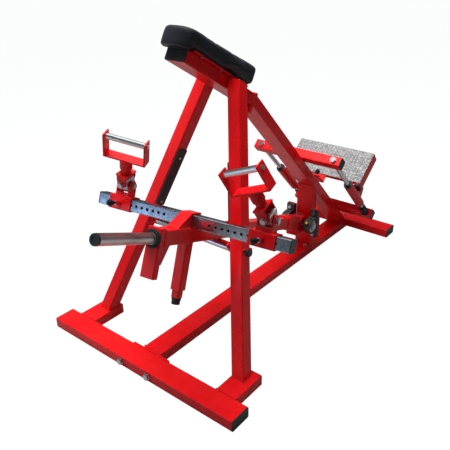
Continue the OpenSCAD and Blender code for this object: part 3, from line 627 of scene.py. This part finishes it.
nothing_selected()
SLACK = -2.0
slant = (TOP_REAR - TOP_FRONT) / (PAD_REAR - PAD_FRONT)
nose_half, rear_half = PAD_HALF - SLACK, PAD_WIDE - SLACK
main_plan = rounded_plan(PAD_FRONT + SLACK, PAD_REAR - SLACK, nose_half, rear_half, FRONT_ROUND, REAR_ROUND)
main_foam = foam_block("chest_pad", main_plan, lambda y: PAD_FLOOR,
    lambda y: TOP_FRONT + (y - PAD_FRONT) * slant - SLACK, 13)
nose_plan = rounded_plan(PAD_FRONT + SLACK, NOSE_REAR, nose_half, nose_half, FRONT_ROUND, 3)
nose_foam = foam_block("pad_nose", nose_plan, lambda y: NOSE_FLOOR, lambda y: NOSE_TOP, 9)
pad = join_all([main_foam, nose_foam], "chest_pad")
print("pad blank", len(pad.data.vertices), "points")

# %% Stuff the pad
apply_modifier(pad, "REMESH", mode="VOXEL", voxel_size=0.005)
blank = [v.co.copy() for v in pad.data.vertices]
cloth = pad.modifiers.new("Stuffing", "CLOTH")
cloth.settings.quality = 5
cloth.settings.mass = 0.3
cloth.settings.use_pressure = True
cloth.settings.uniform_pressure_force = 4.0
cloth.settings.tension_stiffness = 30
cloth.settings.compression_stiffness = 30
cloth.settings.bending_stiffness = 6
cloth.settings.effector_weights.gravity = 0
cloth.point_cache.frame_start, cloth.point_cache.frame_end = 1, 20
for step in range(1, 21):
    bpy.context.scene.frame_set(step)
only(pad)
bpy.ops.object.modifier_apply(modifier=cloth.name)
bpy.context.scene.frame_set(1)
CAP = 0.006
BOARD_START, BOARD_FACE, NOSE_UNDER = -0.0065, 0.0616, 0.037
for vert, start in zip(pad.data.vertices, blank):
    push = vert.co - start
    if push.length > CAP:
        vert.co = start + push.normalized() * CAP
apply_modifier(pad, "SMOOTH", factor=0.5, iterations=12)
for vert in pad.data.vertices:
    if vert.co.y > BOARD_START:
        vert.co.z = max(vert.co.z, BOARD_FACE)
    vert.co.z = max(vert.co.z, NOSE_UNDER)
apply_modifier(pad, "SUBSURF", levels=1, render_levels=1)
bpy.ops.object.shade_smooth()
settle(pad, pad_seat, finishes["black_vinyl"], "frame")
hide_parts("pad")
print("pad", len(pad.data.polygons), "faces")

# %% [markdown]
# Where the vinyl is pulled round the board and stapled, a thin rolled edge runs round
# the underside. A ring of the plan's shape is given a round section by a short sweep.

# %% Rolled edge under the pad
def swept_ring(name, points, radius, sides=6):
    bpy.ops.mesh.primitive_circle_add(vertices=sides, radius=radius)
    ring_piece = bpy.context.object
    ring_piece.name = name
    work = bmesh.new()
    loops = []
    count = len(points)
    for i, point in enumerate(points):
        along = (points[(i + 1) % count] - points[i - 1]).normalized()
        side = along.cross(Vector((0, 0, 1))).normalized()
        loop = []
        for k in range(sides):
            a = 2 * math.pi * k / sides
            round_section = side * (radius * math.cos(a)) + Vector((0, 0, radius * math.sin(a)))
            loop.append(work.verts.new(point + round_section))
        loops.append(loop)
    for i in range(count):
        here, there = loops[i], loops[(i + 1) % count]
        for k in range(sides):
            work.faces.new((here[k], there[k], there[(k + 1) % sides], here[(k + 1) % sides]))
    bmesh.ops.recalc_face_normals(work, faces=work.faces)
    work.to_mesh(ring_piece.data)
    work.free()
    return ring_piece


nothing_selected()
welt_plan = rounded_plan(2.0, PAD_REAR - 14, PAD_HALF - 12, PAD_WIDE - 12, 12, 14)
welt = swept_ring("pad_rolled_edge", [Vector((x * MM, y * MM, 0.0602)) for x, y in welt_plan], 0.0018)
only(welt)
bpy.ops.object.shade_smooth()
settle(welt, pad_seat, finishes["black_vinyl"], "frame")
print("rolled edge", len(welt.data.polygons), "faces")

# %% [markdown]
# The footplate is covered with raised bars, laid in pairs that turn left and right. One
# bar is a cube, stretched, pinched at its ends and flattened on top. It is copied in a
# grid, so the whole tread costs only a few thousand faces.

# %% Tread bars
nothing_selected()
bpy.ops.mesh.primitive_cube_add(size=1.0)
bar_master = bpy.context.object
bar_master.scale = (0.0165, 0.0052, 0.0014)
bpy.ops.object.transform_apply(scale=True)
bpy.ops.object.mode_set(mode="EDIT")
bpy.ops.mesh.select_all(action="SELECT")
bpy.ops.mesh.subdivide(number_cuts=1)
bpy.ops.object.mode_set(mode="OBJECT")
for vert in bar_master.data.vertices:
    pinch = 1.0 - 0.75 * abs(vert.co.x) / 0.00825
    vert.co.y *= pinch
    vert.co.z = vert.co.z * (1.0 - 0.35 * abs(vert.co.x) / 0.00825) if vert.co.z > 0 else vert.co.z
tread_top = 4.4
bars = []
pitch = 19.5
for row in range(10):
    for column in range(24):
        x = -238 + 14 + column * pitch
        y = 12 + row * pitch
        lean = 45 if (row + column) % 2 else -45
        bars.append(copy_to(bar_master, move(x, y, tread_top + 0.55) @ turn("Z", lean), "tread_bar"))
bpy.data.objects.remove(bar_master)
treads = join_all(bars, "tread_bars")
settle(treads, plate_seat, tread_tops, "carriage")
print("tread bars", len(bars), "bars,", len(treads.data.polygons), "faces")

# %% [markdown]
# The frame is welded, and a weld is a row of overlapping ripples. One ripple is a squashed
# ball; an Array modifier lays it along the joint. The beads sit half in the steel, under
# the same paint as the tubes.

# %% Weld beads
def weld(start, end, size=3.2):
    a, b = Vector(start) * MM, Vector(end) * MM
    span = (b - a).length
    count = max(2, int(span / 0.0034))
    bpy.ops.mesh.primitive_uv_sphere_add(segments=8, ring_count=5, radius=size * MM)
    bead = bpy.context.object
    bead.scale = (1.0, 0.95, 0.9)
    bpy.ops.object.transform_apply(scale=True)
    apply_modifier(bead, "ARRAY", count=count, use_relative_offset=False, use_constant_offset=True,
        constant_offset_displace=(0, 0, span / count))
    bead.data.transform(Matrix.Translation(a) @ (b - a).to_track_quat("Z", "Y").to_matrix().to_4x4())
    return bead


def weld_path(corners, place, size=3.2):
    beads = [weld(corners[i], corners[i + 1], size) for i in range(len(corners) - 1)]
    for bead in beads:
        bead.data.transform(place)
    return beads


nothing_selected()
row_frame = move(0, -798, 0)
base_beads = []
for side in (-1, 1):
    base_beads += weld_path([(side * 366, 101, 50), (side * 464, 101, 50)], row_frame, 3.0)
    base_beads += weld_path([(side * 33, 1304, 58.6), (side * 33, 1392, 58.6)], row_frame, 2.6)
base_beads += weld_path([(-50, 116.5, 50), (50, 116.5, 50)], row_frame, 3.0)
base_beads += weld_path([(-48, 1780, 50), (48, 1780, 50)], row_frame, 3.0)
base_beads += weld_path([(-50, 1324, 59), (50, 1324, 59)], row_frame, 3.0)
base_beads += weld_path([(-50, 1374, 59), (50, 1374, 59)], row_frame, 3.0)
base_welds = join_all(base_beads, "base_welds")
settle(base_welds, Matrix.Identity(4), finishes["red_paint"], "frame")
print("base welds", len(base_welds.data.polygons), "faces")

# %% [markdown]
# Each upright stands on its stub at a compound angle. Its foot is found by following the
# four corners of the tube down to the top of the stub, and the bead joins those points.

# %% Welds round the uprights
def upright_foot(side, grow=1.0):
    tilt = turn("X", -20.2) @ turn("Y", -15.8)
    corners = []
    for cx, cy in ((-30, -30), (30, -30), (30, 30), (-30, 30), (-30, -30)):
        top = tilt @ Vector((cx * grow, cy * grow, 0))
        along = tilt.to_3x3() @ Vector((0, 0, 1))
        foot = top - along * (top.z / along.z)
        corners.append((side * (401 + foot.x), 219 + foot.y, 50.3))
    return corners


upright_beads = []
for side in (-1, 1):
    upright_beads += weld_path(upright_foot(side, 1.02), row_frame, 3.2)
upright_welds = join_all(upright_beads, "upright_welds")
settle(upright_welds, Matrix.Identity(4), finishes["red_paint"], "frame")
print("upright welds", len(upright_welds.data.polygons), "faces")

# %% Welds on the lever
lever_beads = []
lever_beads += weld_path([(-22, -1166.5, -23), (22, -1166.5, -23), (22, -1121.5, -23), (-22, -1121.5, -23),
    (-22, -1166.5, -23)], lever, 2.6)
lever_beads += weld_path([(-24, -1250, 37.2), (24, -1250, 37.2)], lever, 2.6)
lever_beads += weld_path([(-24, -1107, 37.2), (24, -1107, 37.2)], lever, 2.6)
for side in (-1, 1):
    lever_beads += weld_path([(side * 25, -1248, 37.2), (side * 25, -1168, 37.2)], lever, 2.4)
    lever_beads += weld_path([(side * 30, -1327, -22), (side * 30, -1327, 34)], lever, 2.6)
    lever_beads += weld_path([(side * 35, -216, -26), (side * 35, -216, 40)], lever, 2.2)
lever_welds = join_all(lever_beads, "lever_welds")
settle(lever_welds, Matrix.Identity(4), finishes["red_paint"], "lever")
print("lever welds", len(lever_welds.data.polygons), "faces")

# %% [markdown]
# Round the foot of each handle frame runs a weld ring, and the slide's ears are welded to
# their sleeve. A ring of ripples is the same bead, turned in steps about the collar.

# %% Welds on the handles
def weld_ring(radius, height, size):
    count = int(2 * math.pi * radius / 3.4)
    bpy.ops.mesh.primitive_uv_sphere_add(segments=8, ring_count=5, radius=size * MM)
    ripple_master = bpy.context.object
    ripples = [copy_to(ripple_master, turn("Z", 360 * k / count) @ move(radius, 0, height),
        "ripple") for k in range(count)]
    bpy.data.objects.remove(ripple_master)
    return ripples


for side_name in ("left", "right"):
    handle_weld = join_all(weld_ring(25.5, 125.6, 2.4), side_name + "_handle_weld")
    settle(handle_weld, hinges[side_name], finishes["red_paint"], "handle_" + side_name)
    neck_weld = join_all(weld_ring(21, 61.4, 2.2), side_name + "_neck_weld")
    hinge_only = hinges[side_name] @ (turn("Z", -13.5) if side_name == "left" else Matrix.Identity(4))
    settle(neck_weld, hinge_only, finishes["red_paint"], "clevis_body_" + side_name)
    sign = -1 if side_name == "left" else 1
    ears = []
    for ear in (-1, 1):
        x = sign * 323.75 + ear * 33.4
        ears += weld_path([(x, -1141 - 21, 92), (x, -1141 + 21, 92)], lever, 2.2)
    ear_welds = join_all(ears, side_name + "_ear_welds")
    settle(ear_welds, Matrix.Identity(4), finishes["red_paint"], "slider_body_" + side_name)
print("handle welds done")

# %% [markdown]
# The pin holes in the handle bar are countersunk, and their lower lips catch the light.
# One lip is a short cone shell: a circle, extruded and narrowed, with its rim rounded.

# %% Countersunk lips
nothing_selected()
bpy.ops.mesh.primitive_circle_add(vertices=24, radius=0.0074, fill_type="NOTHING")
lip = bpy.context.object
bpy.ops.object.mode_set(mode="EDIT")
bpy.ops.mesh.select_all(action="SELECT")
bpy.ops.mesh.extrude_region_move(TRANSFORM_OT_translate={"value": (0, 0, 0.0006)})
bpy.ops.transform.resize(value=(0.86, 0.86, 1))
bpy.ops.mesh.extrude_region_move(TRANSFORM_OT_translate={"value": (0, 0, -0.0022)})
bpy.ops.transform.resize(value=(0.84, 0.84, 1))
bpy.ops.mesh.select_all(action="SELECT")
bpy.ops.mesh.normals_make_consistent(inside=False)
bpy.ops.object.mode_set(mode="OBJECT")
lips = []
for side in (-1, 1):
    for k in range(11):
        x = side * (323.75 - (8 - k) * 27.5)
        lips.append(copy_to(lip, move(x, -1141 - 25.1, 62) @ turn("X", 90), "lip"))
bpy.data.objects.remove(lip)
hole_lips = join_all(lips, "pin_hole_lips")
settle(hole_lips, lever, finishes["plated_steel"], "lever")
print("hole lips", len(hole_lips.data.polygons), "faces")

# %% [markdown]
# Where the locking pin leaves its boss, a short bright steel bush guides it. It is turned
# with a flange and a rounded nose, so it is made as a profile spun about the pin, and it
# ends where the knob's collar stops when the pin is let in.

# %% Pin sleeves
def turned_sleeve(name, profile, steps=24):
    bpy.ops.mesh.primitive_plane_add(size=0.001)
    sleeve = bpy.context.object
    sleeve.name = name
    work = bmesh.new()
    ring = [work.verts.new((r * MM, 0, z * MM)) for r, z in profile]
    outline = [work.edges.new((ring[i], ring[i + 1])) for i in range(len(ring) - 1)]
    bmesh.ops.spin(work, geom=ring + outline, axis=(0, 0, 1), cent=(0, 0, 0), angle=2 * math.pi, steps=steps)
    bmesh.ops.remove_doubles(work, verts=work.verts, dist=1e-6)
    bmesh.ops.recalc_face_normals(work, faces=work.faces)
    work.to_mesh(sleeve.data)
    work.free()
    only(sleeve)
    bpy.ops.object.shade_smooth_by_angle(angle=math.radians(40))
    return sleeve


for side_name, sign in (("left", -1), ("right", 1)):
    nothing_selected()
    sleeve = turned_sleeve(side_name + "_pin_sleeve", [(5.3, 33.6), (5.3, 29), (9.5, 29), (9.5, 30.6),
        (8.4, 31.0), (8.4, 33.0), (7.8, 33.6), (5.3, 33.6)])
    settle(sleeve, lever @ move(sign * 323.75, -1141 - 25.8, 62) @ turn("X", 90), finishes["plated_steel"],
        "slider_body_" + side_name)
print("pin sleeves done")

# %% [markdown]
# The floor is a plain pale sheet that melts into the air behind it. The camera sees it
# mostly as glowing paper with a trace of real shadow, and the machine sees it as a grey
# floor, so it doesn't throw pink light back up at the undersides.

nothing_selected()
bpy.ops.mesh.primitive_plane_add(size=80, location=(0, 0, 0))
floor = bpy.context.object
floor.name = "studio_floor"
pale, tree, surface = start_material("pale_floor", Roughness=0.9, Specular_IOR_Level=0.1)
cloud = use_group(tree, clouded, Tone=(0.30, 0.31, 0.31, 1), Other=(0.26, 0.27, 0.27, 1), Scale=0.7,
    Sharpness=0.3)
tree.links.new(cloud.outputs["Color"], surface.inputs["Base Color"])
paper = add_node(tree, "ShaderNodeEmission", Color=(0.965, 0.982, 0.974, 1), Strength=1.06)
sheet = add_node(tree, "ShaderNodeBsdfDiffuse", Color=(0.9, 0.9, 0.9, 1))
trace = add_node(tree, "ShaderNodeMixShader", i0=0.06, i1=paper.outputs[0], i2=sheet.outputs[0])
path = add_node(tree, "ShaderNodeLightPath")
choose = add_node(tree, "ShaderNodeMixShader", i0=path.outputs["Is Camera Ray"], i1=surface.outputs[0],
    i2=trace.outputs[0])
tree.links.new(choose.outputs[0], tree.nodes["Material Output"].inputs["Surface"])
floor.data.materials.append(pale)
print("floor", floor.name)
